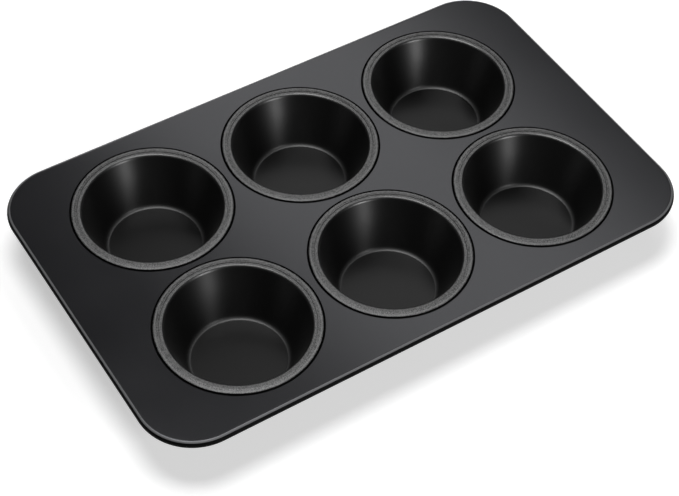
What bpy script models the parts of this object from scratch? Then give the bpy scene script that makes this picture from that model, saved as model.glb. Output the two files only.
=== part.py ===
"""Muffin pan: a flat steel sheet with a wire-rolled edge that carries six drawn cups in pressed rings.

Lengths are in metres, +Z is up, and the pan stands with the undersides of its cups at z = 0.
"""
import math

import bmesh
import bpy

# Sheet: the flat top of the pan, with margins from the outermost rings to its rolled edge
END_MARGIN = 0.0247
SIDE_MARGIN = 0.0113
SHEET_CORNER_RADIUS = 0.0280
SHEET_THICKNESS = 0.0007

# Wire that the sheet's edge is rolled around, and the slit that the roll leaves open underneath
WIRE_RADIUS = 0.0010
ROLL_SLIT = 0.0006

# Gap left between two pieces that are pressed together
SEAM = 0.0003

# Grid of cups, with the sheet left between neighbouring rings
COLUMNS = 3
ROWS = 2
COLUMN_GAP = 0.0053
ROW_GAP = 0.0043

# Cup: radii are inside the metal, and the depth is from the top of the lip to the floor
CUP_MOUTH_RADIUS = 0.0344
CUP_FLOOR_RADIUS = 0.0243
CUP_DEPTH = 0.0273
CUP_CORNER_RADIUS = 0.0030
CUP_WALL = 0.0006

# Lip: the cup's mouth curled outward, with a straight skirt at its free edge, just below the ring's top
LIP_CURL_BORE = 0.0002
LIP_SKIRT = 0.0004
LIP_DROP = 0.0002

# Rim ring: an eyelet that grips the hole's edge and holds the lip on a shoulder inside it
RING_WIDTH = 0.0032
RING_THICKNESS = 0.0004
RING_EDGE_RADIUS = 0.0002
RING_LEG_WALL = 0.0006
RING_CRIMP_WIDTH = 0.0018
RING_CRIMP_THICKNESS = 0.0007

# Smoothness of round shapes
TURN_STEPS = 36
CORNER_STEPS = 8
ROLL_STEPS = 11
LIP_STEPS = 5
CUP_CORNER_STEPS = 3
RING_EDGE_STEPS = 2
WIRE_BEVEL_RESOLUTION = 2
MERGE_DISTANCE = 0.00001

# Heights, from the top of the cups' lips down
LIP_RADIUS = LIP_CURL_BORE + CUP_WALL
LIP_TOP_Z = CUP_WALL + CUP_DEPTH
SHOULDER_Z = LIP_TOP_Z - LIP_RADIUS - LIP_SKIRT - SEAM
RING_TOP_Z = LIP_TOP_Z + LIP_DROP
SHEET_TOP_Z = RING_TOP_Z - RING_THICKNESS - SEAM
CRIMP_TOP_Z = SHEET_TOP_Z - SHEET_THICKNESS - SEAM

# Radii around a cup's axis, from the lip outwards
LIP_CENTRE_RADIUS = CUP_MOUTH_RADIUS + LIP_RADIUS
SHOULDER_RADIUS = LIP_CENTRE_RADIUS + LIP_RADIUS + SEAM
RING_BORE_RADIUS = CUP_MOUTH_RADIUS + CUP_WALL + SEAM
RING_LEG_RADIUS = SHOULDER_RADIUS + RING_LEG_WALL
SHEET_HOLE_RADIUS = RING_LEG_RADIUS + SEAM
RING_CRIMP_RADIUS = SHEET_HOLE_RADIUS + RING_CRIMP_WIDTH
RING_RADIUS = SHOULDER_RADIUS + RING_WIDTH

# Sheet and its roll, from the grid of rings
COLUMN_PITCH = 2 * RING_RADIUS + COLUMN_GAP
ROW_PITCH = 2 * RING_RADIUS + ROW_GAP
SHEET_LENGTH = (COLUMNS - 1) * COLUMN_PITCH + 2 * (RING_RADIUS + END_MARGIN)
SHEET_WIDTH = (ROWS - 1) * ROW_PITCH + 2 * (RING_RADIUS + SIDE_MARGIN)
ROLL_RADIUS = WIRE_RADIUS + SEAM + SHEET_THICKNESS
ROLL_CENTRE_Z = SHEET_TOP_Z - ROLL_RADIUS
ROLL_TURN = 2 * math.pi - math.acos(1 - (SHEET_THICKNESS + ROLL_SLIT) / ROLL_RADIUS)

# Finishes: colour, roughness and metallic value
DARK_COATED_SHEET = ((0.030, 0.031, 0.033), 0.42, 0.6)
BLACK_COATED_CUP = ((0.012, 0.012, 0.013), 0.36, 0.6)
GREY_GRAINED_RING = ((0.130, 0.130, 0.132), 0.55, 0.8)
BRIGHT_STEEL_WIRE = ((0.480, 0.470, 0.450), 0.35, 1.0)


def clear_scene():
    """Remove every object, so that the script can run again in an open file."""
    for scene_object in list(bpy.data.objects):
        bpy.data.objects.remove(scene_object, do_unlink=True)


def new_collection(name):
    """Add a collection to the scene and return it."""
    collection = bpy.data.collections.new(name)
    bpy.context.scene.collection.children.link(collection)
    return collection


def new_material(name, finish):
    """Make a Principled material from a colour, a roughness and a metallic value."""
    colour, roughness, metallic = finish
    material = bpy.data.materials.new(name)
    material.use_nodes = True
    material.diffuse_color = (*colour, 1.0)
    shader = material.node_tree.nodes["Principled BSDF"]
    shader.inputs["Base Color"].default_value = (*colour, 1.0)
    shader.inputs["Roughness"].default_value = roughness
    shader.inputs["Metallic"].default_value = metallic
    return material


def add_part(name, data, finish, location=(0.0, 0.0, 0.0)):
    """Add one piece of the pan, with a material of its own even where its mesh is shared."""
    part = bpy.data.objects.new(name, data)
    pan_collection.objects.link(part)
    part.parent = pan
    part.location = location
    if not data.materials:
        data.materials.append(None)
    part.material_slots[0].link = "OBJECT"
    part.material_slots[0].material = new_material(name, finish)
    return part


def cup_places():
    """Number and axis of each cup, from the front left one, row by row."""
    places = []
    for row in range(ROWS):
        for column in range(COLUMNS):
            x = (column - (COLUMNS - 1) / 2) * COLUMN_PITCH
            y = (row - (ROWS - 1) / 2) * ROW_PITCH
            places.append((row * COLUMNS + column + 1, x, y))
    return places


def arc(centre_radius, centre_z, radius, start, end, steps):
    """Points of an arc as (radius, height) pairs, from one angle in degrees to another."""
    points = []
    for step in range(steps + 1):
        angle = math.radians(start + (end - start) * step / steps)
        points.append((centre_radius + radius * math.cos(angle), centre_z + radius * math.sin(angle)))
    return points


def profile_mesh(name, points, closed):
    """Make a chain of edges in the XZ plane from (radius, height) pairs."""
    edges = [(index, index + 1) for index in range(len(points) - 1)]
    if closed:
        edges.append((len(points) - 1, 0))
    profile = bpy.data.meshes.new(name)
    profile.from_pydata([(radius, 0.0, height) for radius, height in points], edges, [])
    return profile


def turn(part):
    """Turn a part's profile around its Z axis."""
    screw = part.modifiers.new("Turn", "SCREW")
    screw.steps = TURN_STEPS
    screw.render_steps = TURN_STEPS
    screw.use_merge_vertices = True
    screw.merge_threshold = MERGE_DISTANCE


def thicken(part, thickness):
    """Give a part's surface its thickness, on the side away from its normals."""
    solidify = part.modifiers.new("Thickness", "SOLIDIFY")
    solidify.thickness = thickness
    solidify.offset = -1.0
    solidify.use_even_offset = True


def rounded_rectangle(length, width, corner_radius, height):
    """Points of a rounded rectangle around the Z axis, counterclockwise seen from above."""
    points = []
    for corner, (side_x, side_y) in enumerate(((1, 1), (-1, 1), (-1, -1), (1, -1))):
        centre_x = side_x * (length / 2 - corner_radius)
        centre_y = side_y * (width / 2 - corner_radius)
        for step in range(CORNER_STEPS + 1):
            angle = (corner + step / CORNER_STEPS) * math.pi / 2
            x = centre_x + corner_radius * math.cos(angle)
            y = centre_y + corner_radius * math.sin(angle)
            points.append((x, y, height))
    return points


def roll_outline(turned):
    """Outline of the sheet's outer surface where its edge has rolled through an angle."""
    reach = ROLL_RADIUS * (math.sin(turned) - 1)
    length = SHEET_LENGTH + 2 * reach
    width = SHEET_WIDTH + 2 * reach
    height = ROLL_CENTRE_Z + ROLL_RADIUS * math.cos(turned)
    return rounded_rectangle(length, width, SHEET_CORNER_RADIUS + reach, height)


def sheet_mesh():
    """Make the sheet's outer surface: a flat top whose edge rolls outward and under."""
    surface = bmesh.new()
    outlines = []
    for step in range(ROLL_STEPS + 1):
        points = roll_outline(ROLL_TURN * step / ROLL_STEPS)
        outlines.append([surface.verts.new(point) for point in points])
    surface.faces.new(outlines[0])
    for upper, lower in zip(outlines, outlines[1:]):
        for index in range(len(upper)):
            surface.faces.new((upper[index - 1], lower[index - 1], lower[index], upper[index]))
    mesh = bpy.data.meshes.new("sheet")
    surface.to_mesh(mesh)
    surface.free()
    return mesh


def make_hole_cutters():
    """Make a short cylinder for each hole in the sheet."""
    for number, x, y in cup_places():
        bpy.ops.mesh.primitive_cylinder_add(
            vertices=TURN_STEPS,
            radius=SHEET_HOLE_RADIUS,
            depth=4 * SHEET_THICKNESS,
            location=(x, y, SHEET_TOP_Z - SHEET_THICKNESS / 2),
        )
        cutter = bpy.context.active_object
        cutter.name = f"hole_cutter_{number}"
        bpy.context.collection.objects.unlink(cutter)
        cutter_collection.objects.link(cutter)
        cutter.display_type = "WIRE"
        cutter.hide_render = True


def make_sheet():
    """Make the tray sheet, with its rolled edge and a hole for each cup."""
    sheet = add_part("tray_sheet", sheet_mesh(), DARK_COATED_SHEET)
    thicken(sheet, SHEET_THICKNESS)
    make_hole_cutters()
    holes = sheet.modifiers.new("Cup holes", "BOOLEAN")
    holes.operation = "DIFFERENCE"
    holes.solver = "EXACT"
    holes.operand_type = "COLLECTION"
    holes.collection = cutter_collection


def make_edge_wire():
    """Make the closed loop of wire that lies in the sheet's rolled edge."""
    curve = bpy.data.curves.new("edge_wire", "CURVE")
    curve.dimensions = "3D"
    curve.bevel_depth = WIRE_RADIUS
    curve.bevel_resolution = WIRE_BEVEL_RESOLUTION
    points = rounded_rectangle(
        SHEET_LENGTH - 2 * ROLL_RADIUS,
        SHEET_WIDTH - 2 * ROLL_RADIUS,
        SHEET_CORNER_RADIUS - ROLL_RADIUS,
        ROLL_CENTRE_Z,
    )
    spline = curve.splines.new("POLY")
    spline.points.add(len(points) - 1)
    for spline_point, point in zip(spline.points, points):
        spline_point.co = (*point, 1.0)
    spline.use_cyclic_u = True
    add_part("edge_wire", curve, BRIGHT_STEEL_WIRE)


def cup_profile():
    """Inside of a cup from the middle of its floor, up the wall and over the curled lip."""
    lip_centre_z = LIP_TOP_Z - LIP_RADIUS
    run = LIP_CENTRE_RADIUS - CUP_FLOOR_RADIUS
    rise = lip_centre_z - CUP_WALL
    tilt = math.atan2(run, rise) - math.asin(LIP_RADIUS / math.hypot(run, rise))
    corner_turn = math.pi / 2 - tilt
    corner_centre_radius = CUP_FLOOR_RADIUS - CUP_CORNER_RADIUS * math.tan(corner_turn / 2)
    tilt_degrees = math.degrees(tilt)
    points = [(0.0, CUP_WALL)]
    points += arc(
        corner_centre_radius,
        CUP_WALL + CUP_CORNER_RADIUS,
        CUP_CORNER_RADIUS,
        -90.0,
        -tilt_degrees,
        CUP_CORNER_STEPS,
    )
    points += arc(LIP_CENTRE_RADIUS, lip_centre_z, LIP_RADIUS, 180.0 - tilt_degrees, 0.0, LIP_STEPS)
    points.append((LIP_CENTRE_RADIUS + LIP_RADIUS, lip_centre_z - LIP_SKIRT))
    return points


def ring_profile():
    """Section of a rim ring, clockwise from the inner edge of its top."""
    edge = arc(
        RING_RADIUS - RING_EDGE_RADIUS,
        RING_TOP_Z - RING_EDGE_RADIUS,
        RING_EDGE_RADIUS,
        90.0,
        0.0,
        RING_EDGE_STEPS,
    )
    crimp_underside_z = CRIMP_TOP_Z - RING_CRIMP_THICKNESS
    return [
        (SHOULDER_RADIUS, RING_TOP_Z),
        *edge,
        (RING_RADIUS, RING_TOP_Z - RING_THICKNESS),
        (RING_LEG_RADIUS, RING_TOP_Z - RING_THICKNESS),
        (RING_LEG_RADIUS, CRIMP_TOP_Z),
        (RING_CRIMP_RADIUS, CRIMP_TOP_Z),
        (RING_CRIMP_RADIUS, crimp_underside_z),
        (RING_BORE_RADIUS, crimp_underside_z),
        (RING_BORE_RADIUS, SHOULDER_Z),
        (SHOULDER_RADIUS, SHOULDER_Z),
    ]


def make_cups_and_rings():
    """Turn one cup and one ring, and set a copy of each in every hole of the sheet."""
    cup_mesh = profile_mesh("cup", cup_profile(), closed=False)
    ring_mesh = profile_mesh("rim_ring", ring_profile(), closed=True)
    for number, x, y in cup_places():
        cup = add_part(f"cup_{number}", cup_mesh, BLACK_COATED_CUP, (x, y, 0.0))
        turn(cup)
        thicken(cup, CUP_WALL)
        ring = add_part(f"rim_ring_{number}", ring_mesh, GREY_GRAINED_RING, (x, y, 0.0))
        turn(ring)


clear_scene()
pan_collection = new_collection("muffin_pan")
cutter_collection = new_collection("cutters")
pan = bpy.data.objects.new("muffin_pan", None)
pan_collection.objects.link(pan)
make_sheet()
make_edge_wire()
make_cups_and_rings()
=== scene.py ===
# %% [markdown]
# # A six-cup muffin pan
# The pan is a flat steel sheet with a wire-rolled edge, six drawn cups that hang in its holes, and a
# grey grained ring round each mouth. The solids of these pieces come packed as a fixed frame, in metres.
# This notebook sets up the camera, the table and the light, mixes the finishes, and then gives every
# solid a finer shape.
#
# Sizes are in metres unless their names say otherwise, and come from the solids' boxes where a box
# shows them.

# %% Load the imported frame
import math

import bmesh
import bpy
from mathutils import Matrix, Vector


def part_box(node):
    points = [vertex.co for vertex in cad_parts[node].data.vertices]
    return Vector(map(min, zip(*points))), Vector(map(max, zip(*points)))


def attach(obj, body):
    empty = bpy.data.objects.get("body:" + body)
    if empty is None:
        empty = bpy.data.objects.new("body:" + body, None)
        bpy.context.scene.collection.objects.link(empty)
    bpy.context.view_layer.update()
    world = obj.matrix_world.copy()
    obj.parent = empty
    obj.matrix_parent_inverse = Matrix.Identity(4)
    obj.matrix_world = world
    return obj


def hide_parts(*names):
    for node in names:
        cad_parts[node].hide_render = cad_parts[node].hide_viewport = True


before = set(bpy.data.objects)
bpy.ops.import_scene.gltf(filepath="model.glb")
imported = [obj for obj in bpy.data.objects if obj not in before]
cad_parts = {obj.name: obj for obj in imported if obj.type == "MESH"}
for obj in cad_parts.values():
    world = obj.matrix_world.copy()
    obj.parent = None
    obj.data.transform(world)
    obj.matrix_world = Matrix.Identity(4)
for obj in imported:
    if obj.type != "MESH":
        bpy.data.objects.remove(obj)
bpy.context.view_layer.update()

# %% [markdown]
# ## Measuring the solids
# A finer piece has to sit exactly where its solid sits. The box of each node gives the pan's outline,
# the grid of the cups and the heights of the pieces, so none of these numbers has to be copied by hand.
# Section sizes that a box can't show, such as the thickness of the metal, are named values.

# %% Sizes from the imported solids
COLUMNS = 3
ROWS = 2
CUP_COUNT = COLUMNS * ROWS

sheet_low, sheet_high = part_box("tray_sheet")
wire_low, wire_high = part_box("edge_wire")
cup_boxes = [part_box(f"cup_{number}") for number in range(1, CUP_COUNT + 1)]
cup_axes = [(low + high) / 2 for low, high in cup_boxes]
column_pitch = (cup_axes[COLUMNS - 1].x - cup_axes[0].x) / (COLUMNS - 1)
row_pitch = (cup_axes[-1].y - cup_axes[0].y) / (ROWS - 1)
lip_top = cup_boxes[0][1].z
ring_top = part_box("rim_ring_1")[1].z
sheet_length = sheet_high.x - sheet_low.x
sheet_width = sheet_high.y - sheet_low.y
wire_diameter = wire_high.z - wire_low.z

# %% [markdown]
# ## Three small helpers
# Colours are written as sRGB hex values, as a colour picker shows them, while shader sockets take linear
# values, so one function converts them. A second one adds a node to any tree, sets its properties and
# fills its inputs with values or links, so shader trees and Geometry Nodes trees are written in the same
# way. A third makes an object and puts it in the scene.
#
# Some nodes have several inputs of one name, as Math has its Values, and then a number says which is
# meant. The Mix node's colour sockets are of that kind, so their numbers get names.

# %% Colour, node and object helpers
MIX_SHARE = 0
MIX_FIRST = 6
MIX_SECOND = 7
MIX_COLOUR = 2


def linear(hex_colour):
    """Turn an sRGB hex colour into the linear RGBA that a shader socket takes, by the sRGB curve."""
    channels = [int(hex_colour[place:place + 2], 16) / 255 for place in (1, 3, 5)]
    return [
        value / 12.92 if value <= 0.04045 else ((value + 0.055) / 1.055) ** 2.4 for value in channels
    ] + [1.0]


def add_node(tree, kind, inputs=None, **settings):
    """Add a node and set its properties and inputs. A node given as an input means its first output."""
    node = tree.nodes.new(kind)
    for name, value in settings.items():
        setattr(node, name, value)
    for socket, value in (inputs or {}).items():
        source = value.outputs[0] if isinstance(value, bpy.types.Node) else value
        if isinstance(source, bpy.types.NodeSocket):
            tree.links.new(source, node.inputs[socket])
        else:
            node.inputs[socket].default_value = source
    return node


def add_object(name, data):
    """Make an object from its data and put it in the scene."""
    made = bpy.data.objects.new(name, data)
    bpy.context.scene.collection.objects.link(made)
    return made


print("half-bright #808080 is", round(linear("#808080")[0], 3), "in linear light")

# %% [markdown]
# ## The camera
# The pan is seen from the front left and from well above, at about 50 degrees, through a long lens, so
# its edges stay almost parallel. The camera is placed by what it looks at, its distance, its direction
# and a small roll, because these say more to a reader than three coordinates and three angles.

# %% Camera
CAMERA_LENS_MM = 90.12
CAMERA_SENSOR_MM = 36.0
CAMERA_AIM = Vector((-0.02015, -0.02730, 0.0281))
CAMERA_DISTANCE = 0.81409
CAMERA_AZIMUTH = math.radians(34.16)
CAMERA_ELEVATION = math.radians(49.99)
CAMERA_ROLL = math.radians(2.52)


def stand(location, right, up, back):
    """The matrix that stands an object at a place, its X, Y and Z axes along three directions."""
    return Matrix.Translation(location) @ Matrix((right, up, back)).transposed().to_4x4()


level = math.cos(CAMERA_ELEVATION)
forward = Vector((
    level * math.sin(CAMERA_AZIMUTH),
    level * math.cos(CAMERA_AZIMUTH),
    -math.sin(CAMERA_ELEVATION),
))
level_right = forward.cross(Vector((0, 0, 1))).normalized()
level_up = level_right.cross(forward)
camera_right = math.cos(CAMERA_ROLL) * level_right + math.sin(CAMERA_ROLL) * level_up
camera_up = camera_right.cross(forward)

camera = add_object("camera", bpy.data.cameras.new("camera"))
camera.data.lens = CAMERA_LENS_MM
camera.data.sensor_width = CAMERA_SENSOR_MM
camera.matrix_world = stand(CAMERA_AIM - CAMERA_DISTANCE * forward, camera_right, camera_up, -forward)
bpy.context.scene.camera = camera
bpy.context.scene.view_settings.view_transform = "Standard"
print("camera at", [round(value, 3) for value in camera.matrix_world.translation])

# %% [markdown]
# ## The floor
# The pan stands on a seamless white studio table. The table's own colour is a plain pale grey, and what
# the eye sees of it beyond the shadow is lifted to full white by a share of emission that only camera,
# mirror and glass rays meet. The pan's gloss can mirror that share, but its colours get no light from it,
# and it is small enough to leave the pan's soft shadow standing.

# %% Studio floor
FLOOR_HALF_SIDE = 0.8
FLOOR_LIFT = 0.515


def new_finish(name):
    """Start a material, and return it with its empty tree."""
    material = bpy.data.materials.new(name)
    material.use_nodes = True
    material.node_tree.nodes.clear()
    return material, material.node_tree


def floor_finish():
    """White laminate, matt: a pale table whose unshaded surface is seen as white."""
    material, tree = new_finish("matt_white_laminate")
    path = add_node(tree, "ShaderNodeLightPath").outputs
    mirrored = add_node(
        tree, "ShaderNodeMath", {0: path["Is Glossy Ray"], 1: path["Is Transmission Ray"]},
        operation="MAXIMUM",
    )
    seen = add_node(tree, "ShaderNodeMath", {0: path["Is Camera Ray"], 1: mirrored}, operation="MAXIMUM")
    lift = add_node(tree, "ShaderNodeMath", {0: seen, 1: FLOOR_LIFT}, operation="MULTIPLY")
    table = add_node(tree, "ShaderNodeBsdfDiffuse", {"Color": linear("#DADADA")})
    glow = add_node(tree, "ShaderNodeEmission", {"Color": linear("#FFFFFF"), "Strength": lift})
    both = add_node(tree, "ShaderNodeAddShader", {0: table, 1: glow})
    add_node(tree, "ShaderNodeOutputMaterial", {"Surface": both})
    return material


side = FLOOR_HALF_SIDE
floor_corners = [(-side, -side, 0), (side, -side, 0), (side, side, 0), (-side, side, 0)]
floor_mesh = bpy.data.meshes.new("studio_floor")
floor_mesh.from_pydata(floor_corners, [], [(0, 1, 2, 3)])
floor_mesh.materials.append(floor_finish())
floor = add_object("studio_floor", floor_mesh)
print("floor of", 2 * FLOOR_HALF_SIDE, "m, level with the undersides of the cups")

# %% [markdown]
# ## The lamps
# A dark satin surface shows its lamps rather than its own colour, so three boxes share the work. A large
# oval box overhead, a little behind the pan, lights the table, lays the soft shadow on the near side and
# brightens every edge that rounds toward the viewer. It has no corners, which would mirror in the sheet,
# and its short side points the way the camera looks, which keeps its glow off the sheet's near end.
#
# A weak strip hangs behind the pan and to its right, where a mirror lying on the sheet would show it to
# the camera. It runs across the rows, turned a few degrees, so the sheet glows in one soft band and fades
# to both ends. A narrow upright box stands low in front and draws the streak on the cups' far walls.

# %% Lamps
def add_soft_box(name, shape, location, lengthwise, length, width, power):
    """Hang a soft box at a place, pointing at the pan, with its length turned toward a direction."""
    lamp = bpy.data.lights.new(name, "AREA")
    lamp.shape = shape
    lamp.size = width
    lamp.size_y = length
    lamp.energy = power
    toward = -Vector(location).normalized()
    along = Vector(lengthwise) - toward.dot(Vector(lengthwise)) * toward
    along.normalize()
    box = add_object(name, lamp)
    box.matrix_world = stand(location, along.cross(-toward), along, -toward)
    box.visible_camera = False


add_soft_box(
    "overhead_box", "ELLIPSE", location=(-0.02, 0.22, 1.47), lengthwise=(0.53, 0.85, 0.0),
    length=0.62, width=0.82, power=14.5,
)
add_soft_box(
    "strip_box", "RECTANGLE", location=(0.56, 0.74, 1.02), lengthwise=(-0.11, 1.0, 0.0),
    length=1.3, width=0.39, power=2.8,
)
add_soft_box(
    "front_box", "RECTANGLE", location=(0.24, -1.27, 0.52), lengthwise=(0.0, 1.0, 0.0),
    length=0.75, width=0.3, power=9.0,
)

# %% [markdown]
# ## The room
# The room itself is almost dark, which keeps the insides of the cups black. Only the camera sees it
# white, for a low view that looks past the table.

# %% World
ROOM_LIGHT = 0.015
SEEN_WHITE = 1.0

world = bpy.data.worlds.new("studio")
world.use_nodes = True
world.node_tree.nodes.clear()
seen_by_camera = add_node(world.node_tree, "ShaderNodeLightPath").outputs["Is Camera Ray"]
brightness = add_node(
    world.node_tree, "ShaderNodeMapRange",
    {"Value": seen_by_camera, "To Min": ROOM_LIGHT, "To Max": SEEN_WHITE},
)
room = add_node(
    world.node_tree, "ShaderNodeBackground", {"Color": linear("#FFFFFF"), "Strength": brightness}
)
add_node(world.node_tree, "ShaderNodeOutputWorld", {"Surface": room})
bpy.context.scene.world = world
print("room light:", ROOM_LIGHT)

# %% [markdown]
# ## The sheet's finish: sprayed and baked non-stick coating
# Non-stick paint is sprayed on degreased steel and baked. It is a dark polymer, so it is no metal to the
# eye: nearly all that it shows is a colourless gloss, and a satin one, because the dried droplets leave a
# fine orange peel. Noise in real millimetres gives that peel, and a second, slower noise lets the gloss
# drift a little, as on any sprayed panel. The gloss has a breath of blue, which sets the sheet off from
# the neutral grey of the rings. Where the edge begins to roll over, a paler grey band is painted in as a
# painted highlight along the roll, and the coating there is made matt. That band begins just below the
# flat, so height can draw it.
#
# A noise texture stays mostly between 0.3 and 0.7, so those are the ends that a range of gloss is spread
# between, here and in the finishes that follow.

# %% Coated sheet
COATING_IOR = 1.5
NOISE_LOW = 0.3
NOISE_HIGH = 0.7
PEEL_SIZE = 0.0011
PEEL_HEIGHT = 0.00002
GLOSS_DRIFT_SIZE = 0.035
ROLL_HIGHLIGHT_START = 0.000005
ROLL_HIGHLIGHT_FULL = 0.00004
ROLL_HIGHLIGHT_ROUGHNESS = 0.5


def sprayed_coating():
    """Sprayed and baked non-stick coating on steel: dark satin with a fine orange peel, and a painted
    highlight along the roll.
    """
    material, tree = new_finish("sprayed_non_stick_coating")
    place = add_node(tree, "ShaderNodeTexCoord").outputs["Object"]
    height = add_node(tree, "ShaderNodeSeparateXYZ", {"Vector": place}).outputs["Z"]
    # Painted highlight: a paler grey band along the roll just below the flat, where the coating is also
    # made matt.
    painted_highlight = add_node(tree, "ShaderNodeMapRange", {
        "Value": height, "To Min": 1.0, "To Max": 0.0,
        "From Min": sheet_high.z - ROLL_HIGHLIGHT_FULL, "From Max": sheet_high.z - ROLL_HIGHLIGHT_START,
    })
    peel = add_node(tree, "ShaderNodeTexNoise", {
        "Vector": place, "Scale": 1 / PEEL_SIZE, "Detail": 2.0, "Roughness": 0.5,
    })
    coat = add_node(
        tree, "ShaderNodeMix",
        {MIX_SHARE: peel, MIX_FIRST: linear("#101012"), MIX_SECOND: linear("#161618")}, data_type="RGBA",
    )
    colour = add_node(
        tree, "ShaderNodeMix",
        {MIX_SHARE: painted_highlight, MIX_FIRST: coat.outputs[MIX_COLOUR], MIX_SECOND: linear("#5C5C5D")},
        data_type="RGBA",
    )
    drift = add_node(tree, "ShaderNodeTexNoise", {
        "Vector": place, "Scale": 1 / GLOSS_DRIFT_SIZE, "Detail": 1.0,
    })
    gloss = add_node(tree, "ShaderNodeMapRange", {
        "Value": drift, "From Min": NOISE_LOW, "From Max": NOISE_HIGH, "To Min": 0.20, "To Max": 0.22,
    })
    sheen = add_node(tree, "ShaderNodeMapRange", {
        "Value": painted_highlight, "To Min": gloss, "To Max": ROLL_HIGHLIGHT_ROUGHNESS,
    })
    bump = add_node(tree, "ShaderNodeBump", {"Height": peel, "Strength": 0.2, "Distance": PEEL_HEIGHT})
    shader = add_node(tree, "ShaderNodeBsdfPrincipled", {
        "Base Color": colour.outputs[MIX_COLOUR], "Roughness": sheen, "Normal": bump,
        "IOR": COATING_IOR, "Specular IOR Level": 0.6, "Specular Tint": linear("#F9FAFF"),
    })
    add_node(tree, "ShaderNodeOutputMaterial", {"Surface": shader})
    return material


sheet_finish = sprayed_coating()
print("finish:", sheet_finish.name)

# %% [markdown]
# ## The painted shade: matt black coating
# The underside, the rolled edge below its crown, the steep sides of the channels and the sides of the
# rings carry a near-black coat with little gloss of its own. It is painted shade: it makes these edges
# read as a clean black line against the table.

# %% Painted shade on undersides and steep sides
OVERSPRAY_SIZE = 0.0025
OVERSPRAY_HEIGHT = 0.00003


def painted_shade_coating():
    """Near-black matt coating as painted shade, with a faint mottled overspray."""
    material, tree = new_finish("matt_black_painted_shade")
    place = add_node(tree, "ShaderNodeTexCoord").outputs["Object"]
    overspray = add_node(tree, "ShaderNodeTexNoise", {
        "Vector": place, "Scale": 1 / OVERSPRAY_SIZE, "Detail": 4.0, "Roughness": 0.6,
    })
    colour = add_node(
        tree, "ShaderNodeMix",
        {MIX_SHARE: overspray, MIX_FIRST: linear("#030303"), MIX_SECOND: linear("#080808")},
        data_type="RGBA",
    )
    gloss = add_node(tree, "ShaderNodeMapRange", {
        "Value": overspray, "From Min": NOISE_LOW, "From Max": NOISE_HIGH, "To Min": 0.5, "To Max": 0.6,
    })
    bump = add_node(tree, "ShaderNodeBump", {
        "Height": overspray, "Strength": 0.2, "Distance": OVERSPRAY_HEIGHT,
    })
    shader = add_node(tree, "ShaderNodeBsdfPrincipled", {
        "Base Color": colour.outputs[MIX_COLOUR], "Roughness": gloss, "Normal": bump,
        "IOR": COATING_IOR, "Specular IOR Level": 0.04,
    })
    add_node(tree, "ShaderNodeOutputMaterial", {"Surface": shader})
    return material


painted_shade_finish = painted_shade_coating()
print("finish:", painted_shade_finish.name)

# %% [markdown]
# ## The grey grained top coat
# The rings, and the lips inside them, carry a second coat with grit in it, grey against the black. Small
# cells of random grey give the grit. They are 0.3 mm across, coarser than real grit, so that it shows at
# this distance, and a slower noise adds the clumps it forms as it dries. The rings' finish and the cups'
# both carry this coat, so its colour and the height of its grit come from one function.

# %% Grit in the top coat
GRAIN_SIZE = 0.00030
CLUMP_SIZE = 0.0020
CLUMP_SHARE = 0.1
GRIT_DARK = 0.37
GRIT_PALE = 0.73
GRIT_HEIGHT = 0.00005
GRIT_STRENGTH = 0.4
# The pale grey that the painted highlights on the rings and the lips are mixed toward.
PAINTED_HIGHLIGHT_GREY = linear("#8E8E8E")


def grained_grey(tree, place):
    """The grey of the top coat and the height of its grit, for any finish that carries it."""
    cells = add_node(tree, "ShaderNodeTexVoronoi", {"Vector": place, "Scale": 1 / GRAIN_SIZE})
    clumps = add_node(tree, "ShaderNodeTexNoise", {"Vector": place, "Scale": 1 / CLUMP_SIZE, "Detail": 1.0})
    grit = add_node(
        tree, "ShaderNodeMath", {0: clumps, 1: CLUMP_SHARE, 2: cells.outputs["Color"]},
        operation="MULTIPLY_ADD",
    )
    tone = add_node(tree, "ShaderNodeMapRange", {
        "Value": grit, "From Min": GRIT_DARK, "From Max": GRIT_PALE,
    })
    grey = add_node(
        tree, "ShaderNodeMix",
        {MIX_SHARE: tone, MIX_FIRST: linear("#181818"), MIX_SECOND: linear("#646464")}, data_type="RGBA",
    )
    return grey.outputs[MIX_COLOUR], grit


# %% [markdown]
# ## The rings' finish
# The top coat is nearly matt, so its colour is what the eye sees. A pale line painted at one height along
# the ring's outer bend is a painted highlight.

# %% Coated rings
PAINTED_HIGHLIGHT_DROP = 0.00019
PAINTED_HIGHLIGHT_HALF_HEIGHT = 0.00005
PAINTED_HIGHLIGHT_SHARE = 0.35


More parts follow.
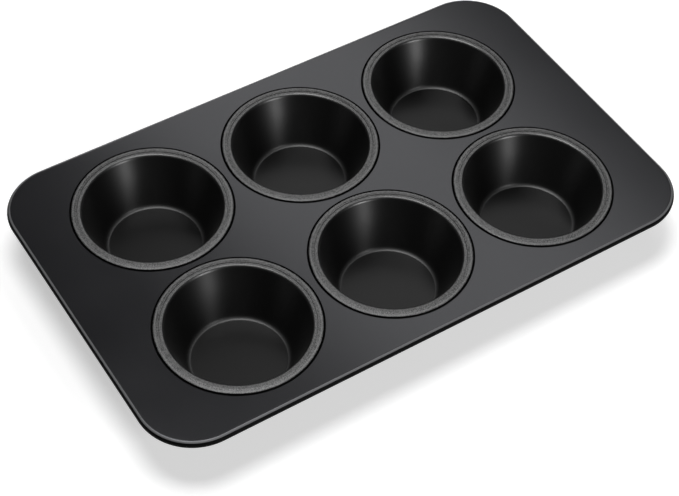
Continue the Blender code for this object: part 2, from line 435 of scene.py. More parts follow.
def grained_top_coat():
    """Grey grained top coat, sprayed dry: matt and mottled, with a painted highlight along the bend of the
    ring.
    """
    material, tree = new_finish("grained_grey_top_coat")
    place = add_node(tree, "ShaderNodeTexCoord").outputs["Object"]
    grey, grit = grained_grey(tree, place)
    height = add_node(tree, "ShaderNodeSeparateXYZ", {"Vector": place}).outputs["Z"]
    # Painted highlight: a pale line at one height along the ring's outer bend.
    above = add_node(tree, "ShaderNodeMath", {0: height, 1: ring_top - PAINTED_HIGHLIGHT_DROP}, operation="SUBTRACT")
    away = add_node(tree, "ShaderNodeMath", {0: above}, operation="ABSOLUTE")
    painted_highlight = add_node(tree, "ShaderNodeMapRange", {
        "Value": away, "From Max": PAINTED_HIGHLIGHT_HALF_HEIGHT, "To Min": PAINTED_HIGHLIGHT_SHARE, "To Max": 0.0,
    })
    highlighted_grey = add_node(
        tree, "ShaderNodeMix", {MIX_SHARE: painted_highlight, MIX_FIRST: grey, MIX_SECOND: PAINTED_HIGHLIGHT_GREY},
        data_type="RGBA",
    )
    bump = add_node(tree, "ShaderNodeBump", {
        "Height": grit, "Strength": GRIT_STRENGTH, "Distance": GRIT_HEIGHT,
    })
    shader = add_node(tree, "ShaderNodeBsdfPrincipled", {
        "Base Color": highlighted_grey.outputs[MIX_COLOUR], "Normal": bump, "Roughness": 0.38, "IOR": COATING_IOR,
    })
    add_node(tree, "ShaderNodeOutputMaterial", {"Surface": shader})
    return material


ring_finish = grained_top_coat()
print("finish:", ring_finish.name)

# %% [markdown]
# ## The cups' finish: smooth black coating
# The cup is coated black inside and round the curl of its mouth. The flat top of its lip shares the
# ring's grained grey, mixed a little paler as a painted highlight. The line between the two lies at one
# height on all six cups, a little below the ring's top, so the height in the piece's own coordinates
# can draw it.
#
# The wall differs from the floor in one thing. The blank is drawn over a turned punch, and the punch's
# fine level lines print through the coating. Gloss spreads across such lines and not along them, so a
# lamp shows on the wall as an upright streak. The shader needs to know which way the lines run: a UV map
# that follows the turned section tells it. The lines themselves are too fine to see, and the bump draws
# them 0.7 mm apart, as fine as the picture can hold. The coating pools in the corner above the floor and
# dries a little duller there.

# %% Coated cups
SECTION_UV = "section"
TOP_COAT_DROP = 0.00027
TOP_COAT_FADE = 0.00003
LIP_HIGHLIGHT_SHARE = 0.16
LIP_ROUGHNESS = 0.42
CORNER_LOW = 0.0006
CORNER_HIGH = 0.0034
DRAW_LINE_SPACING = 0.0007
DRAW_LINE_LENGTH = 0.05
DRAW_LINE_HEIGHT = 0.00002


def coated_cup(name, roughness, corner_roughness, level, anisotropy):
    """Smooth black non-stick coating, under a grained grey top coat on the lip's flat."""
    material, tree = new_finish(name)
    place = add_node(tree, "ShaderNodeTexCoord").outputs["Object"]
    grey, grit = grained_grey(tree, place)
    height = add_node(tree, "ShaderNodeSeparateXYZ", {"Vector": place}).outputs["Z"]
    on_lip = add_node(tree, "ShaderNodeMapRange", {
        "Value": height,
        "From Min": ring_top - TOP_COAT_DROP - TOP_COAT_FADE,
        "From Max": ring_top - TOP_COAT_DROP + TOP_COAT_FADE,
    })
    # Painted highlight: the lip's grey is mixed a little paler.
    painted_highlight = add_node(
        tree, "ShaderNodeMix", {MIX_SHARE: LIP_HIGHLIGHT_SHARE, MIX_FIRST: grey, MIX_SECOND: PAINTED_HIGHLIGHT_GREY},
        data_type="RGBA",
    )
    colour = add_node(
        tree, "ShaderNodeMix",
        {MIX_SHARE: on_lip, MIX_FIRST: linear("#020202"), MIX_SECOND: painted_highlight.outputs[MIX_COLOUR]},
        data_type="RGBA",
    )
    inside = add_node(tree, "ShaderNodeMapRange", {
        "Value": height, "From Min": CORNER_LOW, "From Max": CORNER_HIGH,
        "To Min": corner_roughness, "To Max": roughness,
    })
    sheen = add_node(tree, "ShaderNodeMapRange", {
        "Value": on_lip, "To Min": inside, "To Max": LIP_ROUGHNESS,
    })
    levels = add_node(tree, "ShaderNodeMapping", {
        "Vector": place, "Scale": (1 / DRAW_LINE_LENGTH, 1 / DRAW_LINE_LENGTH, 1 / DRAW_LINE_SPACING),
    })
    lines = add_node(tree, "ShaderNodeTexNoise", {"Vector": levels, "Scale": 1.0, "Detail": 2.0})
    line_bump = add_node(tree, "ShaderNodeBump", {
        "Height": lines, "Strength": 0.1, "Distance": DRAW_LINE_HEIGHT,
    })
    lip_grit = add_node(tree, "ShaderNodeMath", {0: grit, 1: on_lip}, operation="MULTIPLY")
    bump = add_node(tree, "ShaderNodeBump", {
        "Height": lip_grit, "Strength": GRIT_STRENGTH, "Distance": GRIT_HEIGHT, "Normal": line_bump,
    })
    look = {
        "Base Color": colour.outputs[MIX_COLOUR], "Roughness": sheen, "Normal": bump,
        "IOR": COATING_IOR, "Specular IOR Level": level,
    }
    if anisotropy:
        look["Tangent"] = add_node(tree, "ShaderNodeTangent", direction_type="UV_MAP", uv_map=SECTION_UV)
        look["Anisotropic"] = anisotropy
    shader = add_node(tree, "ShaderNodeBsdfPrincipled", look)
    add_node(tree, "ShaderNodeOutputMaterial", {"Surface": shader})
    return material


cup_finish = coated_cup(
    "smooth_black_coating", roughness=0.30, corner_roughness=0.30, level=0.25, anisotropy=0.0
)
wall_finish = coated_cup(
    "smooth_black_coating_on_drawn_wall", roughness=0.36, corner_roughness=0.50, level=0.85, anisotropy=0.6
)
print("finishes:", cup_finish.name, "and", wall_finish.name)

# %% [markdown]
# ## The wire's finish: drawn steel
# The stiffening wire inside the rolled edge is bare, pulled through a die. It is a metal, so its colour
# sits in the reflection, and the die leaves it half bright with a slight drift in gloss.

# %% Drawn wire
WIRE_MARK_SIZE = 0.004


def drawn_steel():
    """Cold-drawn steel wire, bare: half-bright grey metal."""
    material, tree = new_finish("drawn_steel_wire")
    place = add_node(tree, "ShaderNodeTexCoord").outputs["Object"]
    marks = add_node(tree, "ShaderNodeTexNoise", {
        "Vector": place, "Scale": 1 / WIRE_MARK_SIZE, "Detail": 4.0,
    })
    gloss = add_node(tree, "ShaderNodeMapRange", {
        "Value": marks, "From Min": NOISE_LOW, "From Max": NOISE_HIGH, "To Min": 0.28, "To Max": 0.42,
    })
    shader = add_node(tree, "ShaderNodeBsdfPrincipled", {
        "Base Color": linear("#B9B6B0"), "Metallic": 1.0, "Roughness": gloss,
    })
    add_node(tree, "ShaderNodeOutputMaterial", {"Surface": shader})
    return material


wire_finish = drawn_steel()
print("finish:", wire_finish.name)

# %% [markdown]
# ## Sections and turned shapes
# Cups, rings and the edges of the holes are all turned shapes: one section carried round an axis. A
# section is a list of distances from the axis and heights. It is turned point by point here, rather than
# with a Screw modifier, because a point on the axis can then be made once, which closes the pole. A UV
# map keeps the distance run along the section, which tells a finish which way its lines run.

# %% Arcs and turning
TURN_STEPS = 144


def arc(centre, radius, start, end, steps):
    """Points of an arc in a section, from one angle in degrees to another."""
    angles = [math.radians(start + (end - start) * step / steps) for step in range(steps + 1)]
    return [(centre[0] + radius * math.cos(a), centre[1] + radius * math.sin(a)) for a in angles]


def turned(name, section, closed):
    """Turn a section round the Z axis and return the piece, which is a plain mesh object."""
    shell = bmesh.new()
    section_uv = shell.loops.layers.uv.new(SECTION_UV)
    angles = [2 * math.pi * step / TURN_STEPS for step in range(TURN_STEPS)]
    loops = []
    for radius, height in section:
        if radius == 0:
            loops.append([shell.verts.new((0, 0, height))] * TURN_STEPS)
            continue
        places = [(radius * math.cos(a), radius * math.sin(a), height) for a in angles]
        loops.append([shell.verts.new(place) for place in places])
    if closed:
        section = section + section[:1]
        loops.append(loops[0])
    run = 0.0
    for first, second, start, end in zip(loops, loops[1:], section, section[1:]):
        reach = run + math.dist(start, end)
        for step in range(TURN_STEPS):
            after = (step + 1) % TURN_STEPS
            turn = step / TURN_STEPS
            next_turn = (step + 1) / TURN_STEPS
            corners = {
                first[step]: (run, turn), first[after]: (run, next_turn),
                second[after]: (reach, next_turn), second[step]: (reach, turn),
            }
            face = shell.faces.new(list(corners))
            for loop in face.loops:
                loop[section_uv].uv = corners[loop.vert]
        run = reach
    mesh = bpy.data.meshes.new(name)
    shell.to_mesh(mesh)
    shell.free()
    return add_object(name, mesh)


print("turned shapes have", TURN_STEPS, "steps round")

# %% [markdown]
# ## Running a tree
# A Geometry Nodes tree is tried on an object through a modifier. The pieces have to end as plain meshes,
# so the evaluated result replaces the object's mesh and the modifier goes. Merging doubles, turning the
# faces outward and marking the sharp edges are done once, after the tree that makes a piece's shape.

# %% Trees and finished meshes
MERGE_DISTANCE = 0.00001
SHARP_ANGLE = math.radians(40)


def new_tree(name, sizes, takes_piece=True):
    """Make a Geometry Nodes tree with named inputs, and return it with the outputs of its input node."""
    tree = bpy.data.node_groups.new(name, "GeometryNodeTree")
    if takes_piece:
        tree.interface.new_socket("Geometry", in_out="INPUT", socket_type="NodeSocketGeometry")
    for label, kind in sizes.items():
        tree.interface.new_socket(label, in_out="INPUT", socket_type=f"NodeSocket{kind}")
    tree.interface.new_socket("Geometry", in_out="OUTPUT", socket_type="NodeSocketGeometry")
    return tree, add_node(tree, "NodeGroupInput").outputs


def drop_empty_slots(mesh):
    """Keep only the material slots that faces use, in their order."""
    used = sorted({face.material_index for face in mesh.polygons})
    kept = [mesh.materials[index] for index in used]
    indices = [used.index(face.material_index) for face in mesh.polygons]
    mesh.materials.clear()
    for material in kept:
        mesh.materials.append(material)
    mesh.polygons.foreach_set("material_index", indices)


def run_tree(piece, tree, values):
    """Run a tree on a piece, and keep what comes out as the piece's own plain mesh."""
    modifier = piece.modifiers.new(tree.name, "NODES")
    modifier.node_group = tree
    for item in tree.interface.items_tree:
        if item.in_out == "INPUT" and item.name in values:
            modifier[item.identifier] = values[item.name]
    evaluated = piece.evaluated_get(bpy.context.evaluated_depsgraph_get())
    mesh = bpy.data.meshes.new_from_object(evaluated)
    piece.modifiers.remove(modifier)
    piece.data = mesh
    drop_empty_slots(mesh)
    return mesh


def shape_piece(piece, tree, values):
    """Give a piece its shape with a tree, then close its skin and turn its faces outward."""
    mesh = run_tree(piece, tree, values)
    shell = bmesh.new()
    shell.from_mesh(mesh)
    bmesh.ops.remove_doubles(shell, verts=shell.verts, dist=MERGE_DISTANCE)
    bmesh.ops.recalc_face_normals(shell, faces=shell.faces)
    open_edges = sum(not edge.is_manifold for edge in shell.edges)
    shell.to_mesh(mesh)
    shell.free()
    mesh.shade_smooth()
    mesh.set_sharp_from_angle(angle=SHARP_ANGLE)
    mesh.calc_loop_triangles()
    print(f"{piece.name}: {len(mesh.loop_triangles)} triangles, {open_edges} open edges")


print("points closer than", MERGE_DISTANCE, "m are merged")

# %% [markdown]
# ## Which coat goes where
# A small tree looks at each face's normal: what faces up keeps the top coat, what slopes or stands upright
# takes the side coat, and what faces down the under coat. The under coat, and the side coat of the sheet
# and the rings, is the matt black finish, painted shade on those faces. Each piece says how far a face
# may lean before it leaves the top coat: a little on the cups, whose wall finish begins at the curl of
# the lip, and more on the ring's bend and on the sheet's roll. The tree runs once a skin is closed and its
# normals can be trusted.

# %% Tree: coats by facing
UNDER_LIMIT = -0.1

coats_tree, given = new_tree("coats by facing", {
    "Side from": "Float", "Under from": "Float",
    "Top coat": "Material", "Side coat": "Material", "Under coat": "Material",
})
normal = add_node(coats_tree, "GeometryNodeInputNormal")
facing = add_node(coats_tree, "ShaderNodeSeparateXYZ", {"Vector": normal})
real_piece = add_node(coats_tree, "GeometryNodeRealizeInstances", {"Geometry": given["Geometry"]})
coated = add_node(
    coats_tree, "GeometryNodeSetMaterial", {"Geometry": real_piece, "Material": given["Top coat"]}
)
for limit, coat in (("Side from", "Side coat"), ("Under from", "Under coat")):
    turned_away = add_node(
        coats_tree, "FunctionNodeCompare", {0: facing.outputs["Z"], 1: given[limit]},
        data_type="FLOAT", operation="LESS_THAN",
    )
    coated = add_node(
        coats_tree, "GeometryNodeSetMaterial",
        {"Geometry": coated, "Selection": turned_away, "Material": given[coat]},
    )
add_node(coats_tree, "NodeGroupOutput", {"Geometry": coated})


def coat_piece(piece, top_coat, side_coat, side_from):
    """Coat a finished skin: the side coat starts where a normal's Z falls below side_from."""
    mesh = run_tree(piece, coats_tree, {
        "Side from": side_from, "Under from": UNDER_LIMIT,
        # The under coat is the matt black painted shade on every downward face.
        "Top coat": top_coat, "Side coat": side_coat, "Under coat": painted_shade_finish,
    })
    print(f"{piece.name} carries", [material.name for material in mesh.materials])


print("tree:", coats_tree.name)

# %% [markdown]
# ## The outline that the edge follows
# The sheet's edge and the wire in it follow the same kind of path, a rectangle with round corners. It is
# a small tree of its own, used inside two others. The fillet is asked for plain points, so that whatever
# follows the path has its own points exactly on it.

# %% Tree: rounded outline
OUTLINE_INPUTS = {"Length": "Float", "Width": "Float", "Corner radius": "Float", "Corner steps": "Int"}

outline_tree, given = new_tree("rounded outline", OUTLINE_INPUTS, takes_piece=False)
rectangle = add_node(
    outline_tree, "GeometryNodeCurvePrimitiveQuadrilateral",
    {"Width": given["Length"], "Height": given["Width"]}, mode="RECTANGLE",
)
rounded = add_node(
    outline_tree, "GeometryNodeFilletCurve",
    {"Curve": rectangle, "Count": given["Corner steps"], "Radius": given["Corner radius"]}, mode="POLY",
)
add_node(outline_tree, "NodeGroupOutput", {"Geometry": rounded})
print("tree:", outline_tree.name)

# %% [markdown]
# ## The grid that the cups stand on
# Holes, cups and rings all stand on one grid of points, three along and two across. It is a second small
# tree. Each side is its pitch times one less than its count, because three points have two gaps.

# %% Tree: grid of cups
GRID_INPUTS = {"Columns": "Int", "Rows": "Int", "Column pitch": "Float", "Row pitch": "Float"}

grid_tree, given = new_tree("grid of cups", GRID_INPUTS, takes_piece=False)
spans = []
for count, pitch in (("Columns", "Column pitch"), ("Rows", "Row pitch")):
    gaps = add_node(grid_tree, "ShaderNodeMath", {0: given[count], 1: 1.0}, operation="SUBTRACT")
    spans.append(add_node(grid_tree, "ShaderNodeMath", {0: gaps, 1: given[pitch]}, operation="MULTIPLY"))
grid_points = add_node(grid_tree, "GeometryNodeMeshGrid", {
    "Size X": spans[0], "Size Y": spans[1],
    "Vertices X": given["Columns"], "Vertices Y": given["Rows"],
})
add_node(grid_tree, "NodeGroupOutput", {"Geometry": grid_points})

cup_grid = {"Columns": COLUMNS, "Rows": ROWS, "Column pitch": column_pitch, "Row pitch": row_pitch}
print("tree:", grid_tree.name)

# %% [markdown]
# ## The sheet
# The sheet is pressed flat, pierced with six holes, and its edge is rolled outward and under, round a
# wire. A narrow channel is creased round each hole, and the ring's edge hangs over it. Its steep sides
# carry the matt black coat, painted shade that draws a thin dark line round the ring.
#
# The tree builds the sheet as the metal runs: a flat fill between the outline and the holes, above and
# below, a rolled section swept round the outline, and a turned channel set at each hole. Their points
# meet exactly, so merging them gives one closed skin without a boolean. It starts with the borders of the
# flat: the outline and a circle at each hole.

# %% Tree: pressed sheet, its borders
pressed_tree, given = new_tree("pressed sheet", {
    **OUTLINE_INPUTS, **GRID_INPUTS,
    "Seat radius": "Float", "Seat steps": "Int", "Thickness": "Float", "Top height": "Float",
    "Rolled section": "Object", "Coating": "Material",
})
outline = add_node(
    pressed_tree, "GeometryNodeGroup", {label: given[label] for label in OUTLINE_INPUTS},
    node_tree=outline_tree,
)
places = add_node(
    pressed_tree, "GeometryNodeGroup", {label: given[label] for label in GRID_INPUTS},
    node_tree=grid_tree,
)
circle = add_node(
    pressed_tree, "GeometryNodeCurvePrimitiveCircle",
    {"Resolution": given["Seat steps"], "Radius": given["Seat radius"]}, mode="RADIUS",
)
circles = add_node(pressed_tree, "GeometryNodeInstanceOnPoints", {"Points": places, "Instance": circle})
real_circles = add_node(pressed_tree, "GeometryNodeRealizeInstances", {"Geometry": circles})
borders = add_node(pressed_tree, "GeometryNodeJoinGeometry", {"Geometry": outline})
pressed_tree.links.new(real_circles.outputs[0], borders.inputs["Geometry"])
print("tree begun:", pressed_tree.name)

# %% [markdown]
# ## The sheet's flat, roll and channels
# The flat is filled between the borders and copied one thickness down. The rolled section comes as an
# object and is swept along the outline. The channel comes as the tree's own geometry and is set at each
# hole. Everything is drawn with the flat at height zero and raised to its place at the end.

# %% Tree: pressed sheet, its skin
top = add_node(pressed_tree, "GeometryNodeFillCurve", {"Curve": borders}, mode="TRIANGLES")
drop = add_node(pressed_tree, "ShaderNodeMath", {0: given["Thickness"], 1: -1.0}, operation="MULTIPLY")
below = add_node(pressed_tree, "ShaderNodeCombineXYZ", {"Z": drop})
underside = add_node(pressed_tree, "GeometryNodeTransform", {"Geometry": top, "Translation": below})

roll = add_node(pressed_tree, "GeometryNodeObjectInfo", {"Object": given["Rolled section"]})
level_path = add_node(pressed_tree, "GeometryNodeSetCurveNormal", {"Curve": outline}, mode="Z_UP")
rolled = add_node(
    pressed_tree, "GeometryNodeCurveToMesh",
    {"Curve": level_path, "Profile Curve": roll.outputs["Geometry"]},
)
seats = add_node(
    pressed_tree, "GeometryNodeInstanceOnPoints", {"Points": places, "Instance": given["Geometry"]}
)

skin = add_node(pressed_tree, "GeometryNodeJoinGeometry", {"Geometry": seats})
for part in (top, underside, rolled):
    pressed_tree.links.new(part.outputs[0], skin.inputs["Geometry"])
lift = add_node(pressed_tree, "ShaderNodeCombineXYZ", {"Z": given["Top height"]})
lifted = add_node(pressed_tree, "GeometryNodeTransform", {"Geometry": skin, "Translation": lift})
real_skin = add_node(pressed_tree, "GeometryNodeRealizeInstances", {"Geometry": lifted})
coated = add_node(
    pressed_tree, "GeometryNodeSetMaterial", {"Geometry": real_skin, "Material": given["Coating"]}
)
add_node(pressed_tree, "NodeGroupOutput", {"Geometry": coated})
print("tree:", pressed_tree.name)

# %% [markdown]
# ## The sheet's two sections
# The roll goes over, round the wire and back on its inside, and leaves a narrow slit under the flat, as
# rolling tools do. The metal round a hole has the creased channel above, its ridge below, and the hole's
# edge. Both are lists of points, because their sizes are easier to follow as numbers than as nodes.

# %% Sections of the sheet
SHEET_THICKNESS = 0.0007
WIRE_ROOM = 0.0003
ROLL_SLIT = 0.0006
ROLL_RADIUS = wire_diameter / 2 + WIRE_ROOM + SHEET_THICKNESS
ROLL_TURN = 360 - math.degrees(math.acos(1 - (SHEET_THICKNESS + ROLL_SLIT) / ROLL_RADIUS))
ROLL_STEPS = 40
FLAT_MARGIN = 0.0005
HOLE_RADIUS = 0.0372
CHANNEL_OUTER_RADIUS = 0.0404
CHANNEL_MIDDLE_RADIUS = 0.03985
CHANNEL_INNER_RADIUS = 0.0393
CHANNEL_DEPTH = 0.0005
CHANNEL_MARGIN = 0.0002
SEAT_RADIUS = 0.0415


def sheet_roll():
    """Section of the rolled edge, outward from the flat: over, round the wire and back on the inside."""
    centre = (FLAT_MARGIN, -ROLL_RADIUS)
    outside = arc(centre, ROLL_RADIUS, 90, 90 - ROLL_TURN, ROLL_STEPS)
    inside = arc(centre, ROLL_RADIUS - SHEET_THICKNESS, 90 - ROLL_TURN, 90, ROLL_STEPS)
    return [(0.0, 0.0)] + outside + inside + [(0.0, -SHEET_THICKNESS)]


def hole_seat():
    """Section of the metal round a hole, along its top and back along its underside."""
    top_side = [
        (SEAT_RADIUS, 0.0),
        (CHANNEL_OUTER_RADIUS + CHANNEL_MARGIN, 0.0),
        (CHANNEL_OUTER_RADIUS, 0.0),
        (CHANNEL_MIDDLE_RADIUS, -CHANNEL_DEPTH),
        (CHANNEL_INNER_RADIUS, 0.0),
        (CHANNEL_INNER_RADIUS - CHANNEL_MARGIN, 0.0),
        (HOLE_RADIUS, 0.0),
    ]
    under_side = [(radius, height - SHEET_THICKNESS) for radius, height in reversed(top_side)]
    return top_side + under_side


def section_curve(name, points):
    """Draw a section as a curve object for a tree to sweep. It is taken out again after its use."""
    curve = bpy.data.curves.new(name, "CURVE")
    curve.dimensions = "3D"
    spline = curve.splines.new("POLY")
    spline.points.add(len(points) - 1)
    for spline_point, (across, height) in zip(spline.points, points):
        spline_point.co = (across, -height, 0.0, 1.0)
    return add_object(name, curve)


# %% [markdown]
# ## Making the sheet
# The outline of the flat lies a roll's radius and a small margin inside the sheet's edge. What leans more
# than about 37 degrees gets the matt black coat, as painted shade: the roll beyond its crown, and the
# channels' sides.

# %% Sheet
SHEET_CORNER_RADIUS = 0.0280
CORNER_STEPS = 24
ROLL_COAT_LIMIT = 0.8


def outline_inside(inset):
    """Sizes of the outline that runs a distance inside the sheet's edge."""
    return {
        "Length": sheet_length - 2 * inset, "Width": sheet_width - 2 * inset,
        "Corner radius": SHEET_CORNER_RADIUS - inset, "Corner steps": CORNER_STEPS,
    }


rolled_section = section_curve("rolled_section", sheet_roll())
pan_sheet = turned("pan_sheet", hole_seat(), closed=False)
shape_piece(pan_sheet, pressed_tree, {
    **outline_inside(ROLL_RADIUS + FLAT_MARGIN), **cup_grid,
    "Seat radius": SEAT_RADIUS, "Seat steps": TURN_STEPS,
    "Thickness": SHEET_THICKNESS, "Top height": sheet_high.z,
    "Rolled section": rolled_section, "Coating": sheet_finish,
})
bpy.data.objects.remove(rolled_section)
coat_piece(pan_sheet, sheet_finish, painted_shade_finish, ROLL_COAT_LIMIT)
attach(pan_sheet, "root")
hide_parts("tray_sheet")

# %% [markdown]
# ## The wire
# The wire is a closed loop in the middle of the roll, so it is the same outline, smaller, with a circle
# swept along it.

# %% Tree: wire loop
wire_tree, given = new_tree("wire loop", {
    **OUTLINE_INPUTS,
    "Wire radius": "Float", "Wire sides": "Int", "Height": "Float", "Metal": "Material",
})
outline = add_node(
    wire_tree, "GeometryNodeGroup", {label: given[label] for label in OUTLINE_INPUTS},
    node_tree=outline_tree,
)
wire_section = add_node(
    wire_tree, "GeometryNodeCurvePrimitiveCircle",
    {"Resolution": given["Wire sides"], "Radius": given["Wire radius"]}, mode="RADIUS",
)
swept = add_node(wire_tree, "GeometryNodeCurveToMesh", {"Curve": outline, "Profile Curve": wire_section})
lift = add_node(wire_tree, "ShaderNodeCombineXYZ", {"Z": given["Height"]})
lifted = add_node(wire_tree, "GeometryNodeTransform", {"Geometry": swept, "Translation": lift})
real_wire = add_node(wire_tree, "GeometryNodeRealizeInstances", {"Geometry": lifted})
bare = add_node(wire_tree, "GeometryNodeSetMaterial", {"Geometry": real_wire, "Material": given["Metal"]})
add_node(wire_tree, "NodeGroupOutput", {"Geometry": bare})
print("tree:", wire_tree.name)

# %% [markdown]
# ## Making the wire
# The wire starts as an empty object, because its tree draws everything that it needs. Its middle line
# lies one roll radius inside the sheet's edge.

# %% Wire
WIRE_SIDES = 24

stiffening_wire = add_object("stiffening_wire", bpy.data.meshes.new("stiffening_wire"))
shape_piece(stiffening_wire, wire_tree, {
    **outline_inside(ROLL_RADIUS),
    "Wire radius": wire_diameter / 2, "Wire sides": WIRE_SIDES,
    "Height": (wire_low.z + wire_high.z) / 2, "Metal": wire_finish,
})
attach(stiffening_wire, "root")
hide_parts("edge_wire")

# %% [markdown]
# ## Setting a piece in rows
# Six equal cups and six equal rings stand on one grid. The tree puts a turned piece on the points of the
# grid, makes the copies real and gives them their finish, so one section serves all six.

# %% Tree: set in rows
rows_tree, given = new_tree("set in rows", {**GRID_INPUTS, "Coating": "Material"})
places = add_node(
    rows_tree, "GeometryNodeGroup", {label: given[label] for label in GRID_INPUTS}, node_tree=grid_tree
)
copies = add_node(
    rows_tree, "GeometryNodeInstanceOnPoints", {"Points": places, "Instance": given["Geometry"]}
)
real_copies = add_node(rows_tree, "GeometryNodeRealizeInstances", {"Geometry": copies})
coated = add_node(
    rows_tree, "GeometryNodeSetMaterial", {"Geometry": real_copies, "Material": given["Coating"]}
)
add_node(rows_tree, "NodeGroupOutput", {"Geometry": coated})
print("tree:", rows_tree.name)

# %% [markdown]
# ## A cup's section
# A cup is drawn from one blank: a flat floor, a small round corner, a straight tapered wall, and a mouth
# curled outward into a lip. Its section runs up the inside, over the lip, and back down the outside, a
# wall's thickness away. Short flat steps beside each round keep the smooth shading off the flats.

# %% Section of a cup
CUP_WALL = 0.0006
CUP_FLOOR_RADIUS = 0.0243
CUP_CORNER_RADIUS = 0.0022
CUP_CORNER_STEPS = 14
CUP_MOUTH_RADIUS = 0.0340
LIP_RADIUS = 0.0017
LIP_STEPS = 12
LIP_REACH = 0.03665
LIP_EDGE_RADIUS = 0.0001
LIP_EDGE_STEPS = 5
SKIRT_LENGTH = 0.0012
SKIRT_SHARE = 0.7
SUPPORT = 0.0004


def cup_section():
    """Section of a cup, from the middle of its floor over the lip to the middle of its underside."""
    lip_centre = (CUP_MOUTH_RADIUS + LIP_RADIUS, lip_top - LIP_RADIUS)
    run = lip_centre[0] - CUP_FLOOR_RADIUS
    rise = lip_centre[1] - CUP_WALL
    tilt = math.atan2(run, rise) - math.asin(LIP_RADIUS / math.hypot(run, rise))
    tilt_degrees = math.degrees(tilt)

    corner_x = CUP_FLOOR_RADIUS - CUP_CORNER_RADIUS * math.tan((math.pi / 2 - tilt) / 2)
    corner_centre = (corner_x, CUP_WALL + CUP_CORNER_RADIUS)
    outer_radius = CUP_CORNER_RADIUS + CUP_WALL
    corner = arc(corner_centre, CUP_CORNER_RADIUS, -90, -tilt_degrees, CUP_CORNER_STEPS)
    outer_corner = arc(corner_centre, outer_radius, -tilt_degrees, -90, CUP_CORNER_STEPS)

    lip = arc(lip_centre, LIP_RADIUS, 180 - tilt_degrees, 90, LIP_STEPS)
    lip_edge_centre = (LIP_REACH - LIP_EDGE_RADIUS, lip_top - LIP_EDGE_RADIUS)
    lip_edge = arc(lip_edge_centre, LIP_EDGE_RADIUS, 90, 0, LIP_EDGE_STEPS)
    skirt_inside = LIP_REACH - CUP_WALL * SKIRT_SHARE
    skirt = [
        (LIP_REACH, lip_top - SKIRT_LENGTH),
        (skirt_inside, lip_top - SKIRT_LENGTH),
        (skirt_inside, lip_top - CUP_WALL),
        (lip_centre[0], lip_top - CUP_WALL),
    ]

    along = (math.sin(tilt), math.cos(tilt))
    out = (CUP_WALL * math.cos(tilt), -CUP_WALL * math.sin(tilt))
    wall_start = (corner[-1][0] + SUPPORT * along[0], corner[-1][1] + SUPPORT * along[1])
    wall_end = (lip[0][0] - SUPPORT * along[0], lip[0][1] - SUPPORT * along[1])
    outer_wall = [(x + out[0], height + out[1]) for x, height in (wall_end, wall_start)]
    floor_inside = [(0.0, CUP_WALL), (corner_x - SUPPORT, CUP_WALL)]
    floor_outside = [(corner_x - SUPPORT, 0.0), (0.0, 0.0)]
    inside = floor_inside + corner + [wall_start, wall_end] + lip
    return inside + lip_edge + skirt + outer_wall + outer_corner + floor_outside


print("a cup's section has", len(cup_section()), "points")

# %% [markdown]
# ## Making the cups
# The section starts and ends on the axis, so it needs no closing. A face changes from the floor's finish
# to the wall's at a lean of about 10 degrees, which is where the corner begins to round.

# %% Cups
WALL_LIMIT = 0.985

muffin_cups = turned("muffin_cups", cup_section(), closed=False)
shape_piece(muffin_cups, rows_tree, {**cup_grid, "Coating": cup_finish})
coat_piece(muffin_cups, cup_finish, wall_finish, WALL_LIMIT)
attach(muffin_cups, "root")
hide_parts(*[f"cup_{number}" for number in range(1, CUP_COUNT + 1)])

# %% [markdown]
# ## A ring's section
# Each ring is an eyelet. Its flat band lies on the sheet, its leg goes down through the hole, and its
# foot is crimped outward below. The band falls a little outward and then bends over its outer edge, and
# it is that bend which catches a thin line of light on the near side. A shoulder inside the leg carries
# the cup's lip.

# %% Section of a ring
RING_RADIUS = 0.0395
RING_EDGE_WIDTH = 0.0009
RING_EDGE_HEIGHT = 0.0004
RING_EDGE_STEPS = 10
RING_INNER_RADIUS = 0.0367
RING_INNER_EDGE = 0.0001
RING_INNER_STEPS = 4
RING_THICKNESS = 0.0006
BAND_FALL = 0.0002
BAND_SUPPORT = 0.0003
LEG_RADIUS = 0.0371
BORE_RADIUS = 0.0353
SHOULDER_DROP = 0.0015
FOOT_RADIUS = 0.0390
FOOT_DROP = 0.0010
FOOT_THICKNESS = 0.0007
FOOT_EDGE_RADIUS = 0.0002
FOOT_EDGE_STEPS = 3


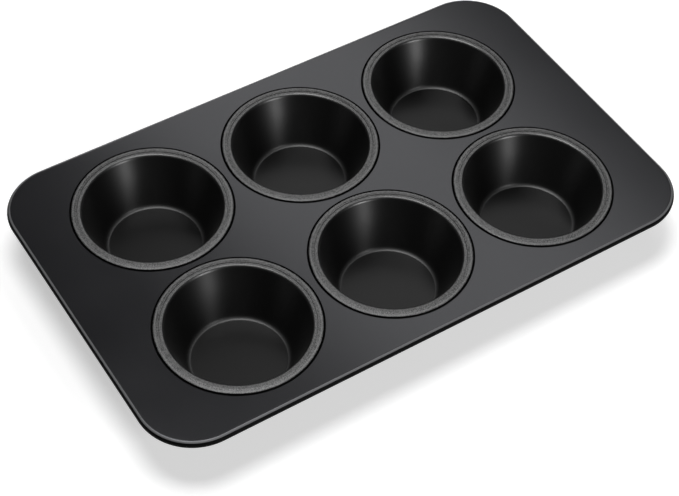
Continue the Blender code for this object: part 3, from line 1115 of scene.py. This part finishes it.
def ring_section():
    """Section of a ring: inner edge, band, outer edge, leg, crimped foot, bore and shoulder."""
    inner_x = RING_INNER_RADIUS + RING_INNER_EDGE
    inner = arc((inner_x, ring_top - RING_INNER_EDGE), RING_INNER_EDGE, 180, 90, RING_INNER_STEPS)

    band_start = inner_x + BAND_SUPPORT
    band_end = RING_RADIUS - RING_EDGE_WIDTH
    start_fall = BAND_FALL * (band_start - RING_INNER_RADIUS) / (band_end - RING_INNER_RADIUS)
    edge = []
    for step in range(RING_EDGE_STEPS + 1):
        turn = math.radians(90 * step / RING_EDGE_STEPS)
        edge_fall = BAND_FALL + RING_EDGE_HEIGHT * (1 - math.cos(turn))
        edge.append((band_end + RING_EDGE_WIDTH * math.sin(turn), ring_top - edge_fall))

    foot_top = sheet_high.z - FOOT_DROP
    foot_bottom = foot_top - FOOT_THICKNESS
    foot_x = FOOT_RADIUS - FOOT_EDGE_RADIUS
    upper = arc((foot_x, foot_top - FOOT_EDGE_RADIUS), FOOT_EDGE_RADIUS, 90, 0, FOOT_EDGE_STEPS)
    lower = arc((foot_x, foot_bottom + FOOT_EDGE_RADIUS), FOOT_EDGE_RADIUS, 0, -90, FOOT_EDGE_STEPS)
    leg = [(LEG_RADIUS, ring_top - RING_THICKNESS), (LEG_RADIUS, foot_top)]
    shoulder_top = lip_top - SHOULDER_DROP
    bore = [(BORE_RADIUS, foot_bottom), (BORE_RADIUS, shoulder_top), (RING_INNER_RADIUS, shoulder_top)]
    return inner + [(band_start, ring_top - start_fall)] + edge + leg + upper + lower + bore


print("a ring's section has", len(ring_section()), "points")

# %% [markdown]
# ## Making the rings
# The section doesn't reach the axis, so it closes on itself. The grained coat ends where the ring's bend
# leans about 28 degrees, and the sides below it are matt black, as painted shade.

# %% Rings
RING_SIDE_LIMIT = 0.88

rim_rings = turned("rim_rings", ring_section(), closed=True)
shape_piece(rim_rings, rows_tree, {**cup_grid, "Coating": ring_finish})
coat_piece(rim_rings, ring_finish, painted_shade_finish, RING_SIDE_LIMIT)
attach(rim_rings, "root")
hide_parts(*[f"rim_ring_{number}" for number in range(1, CUP_COUNT + 1)])
